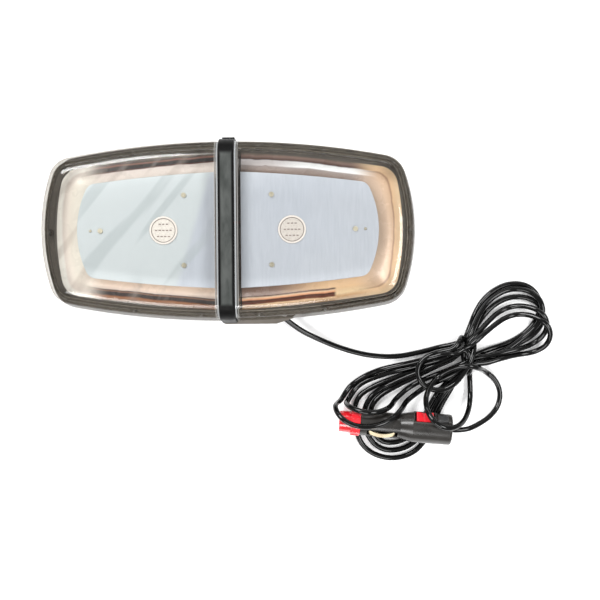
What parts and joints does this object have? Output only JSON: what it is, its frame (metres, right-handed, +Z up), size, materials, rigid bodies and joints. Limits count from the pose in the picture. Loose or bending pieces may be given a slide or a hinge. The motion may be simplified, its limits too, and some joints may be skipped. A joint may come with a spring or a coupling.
{
  "type": "mini magnetic led warning light bar",
  "caption": "Low LED warning light bar with clear domes either side of a black strap, magnetic feet, and a lead in a loose hank with a universal vehicle plug.",
  "frame": {"origin": "under the middle of the bar, on the surface its magnet feet stand on", "axes": "+X along the bar, +Y away from the side where the lead leaves, +Z up"},
  "size_m": [0.4225, 0.2688, 0.06],
  "materials": {
    "black_plastic": "satin moulded black",
    "rubber": "matt black rubber",
    "clear_lens": "clear polished polycarbonate",
    "steel": "zinc plated",
    "chrome": "vacuum-metallised mirror",
    "led_plate": "pale satin aluminium board",
    "badge": "pearly satin",
    "brass": "polished brass",
    "led": "LED package with a yellow phosphor",
    "board": "green solder mask",
    "copper_coil": "enamelled copper coil",
    "capacitor": "sleeved can",
    "chip": "moulded epoxy",
    "terminal": "green terminal block",
    "wire": "red insulated wire",
    "magnet": "nickel plated pot magnet",
    "cord": "glossy black PVC sheath",
    "red_plastic": "glossy red moulding",
    "fuse_glass": "glass fuse with metal caps"
  },
  "bodies": {
    "root": {"base_gasket": "rubber", "base_tray": "black_plastic", "board_leads": "wire", "bridge_screws": "steel", "button_spring": "steel", "centre_bridge": "black_plastic", "contact_board": "board", "cord_bush": "rubber", "cord_gland": "rubber", "cord_loop": "cord", "cord_over_nose": "cord", "cord_over_sleeve": "cord", "cord_tail": "cord", "cord_tie": "cord", "driver_board": "board", "driver_capacitors": "capacitor", "driver_chips": "chip", "driver_coils": "copper_coil", "fuse_clip": "brass", "hank_left": "cord", "hank_low": "cord", "hank_right": "cord", "hank_waist": "cord", "inner_lead": "cord", "label_disc_left": "badge", "label_disc_right": "badge", "led_plate_left": "led_plate", "led_plate_right": "led_plate", "leds_left": "led", "leds_right": "led", "lens_left": "clear_lens", "lens_right": "clear_lens", "lens_screws": "steel", "magnet_boots": "rubber", "magnet_nuts": "steel", "magnet_studs": "steel", "magnets": "magnet", "plate_screws": "brass", "plug_fuse": "fuse_glass", "plug_screw": "steel", "plug_shell_lower": "black_plastic", "plug_shell_upper": "black_plastic", "power_cord": "cord", "reflector_left": "chrome", "reflector_right": "chrome", "rocker_bezel": "black_plastic", "rocker_pin": "steel", "switch_board": "board", "terminal_block": "terminal", "tip_spring": "steel", "vent_plug": "rubber"},
    "sleeve": {"adapter_sleeve": "red_plastic"},
    "tip": {"tip_contact": "brass"},
    "contact_upper": {"side_contact_upper": "brass"},
    "contact_lower": {"side_contact_lower": "brass"},
    "rocker": {"rocker_switch": "red_plastic"},
    "button": {"mode_button": "black_plastic"}
  },
  "joints": [
    {"name": "sleeve_slide", "type": "slide", "parent": "root", "child": "sleeve", "axis": [-0.9962, 0.0872, 0], "range_m": [0, 0.025]},
    {"name": "tip_press", "type": "slide", "parent": "root", "child": "tip", "axis": [0.9962, -0.0872, 0], "range_m": [0, 0.0022], "deforming": ["tip_spring"]},
    {"name": "contact_upper_press", "type": "slide", "parent": "root", "child": "contact_upper", "axis": [-0.0616, -0.7044, 0.7071], "range_m": [0, 0.0015]},
    {"name": "contact_lower_press", "type": "slide", "parent": "root", "child": "contact_lower", "axis": [0.0616, 0.7044, -0.7071], "range_m": [0, 0.0015]},
    {"name": "rocker_tilt", "type": "hinge", "parent": "root", "child": "rocker", "pos_m": [0.15857, -0.15578, 0.02478], "axis": [0.0616, 0.7044, -0.7071], "range_deg": [-8, 8]},
    {"name": "button_press", "type": "slide", "parent": "root", "child": "button", "axis": [-0.0616, -0.7044, -0.7071], "range_m": [0, 0.001], "deforming": ["button_spring"]}
  ]
}
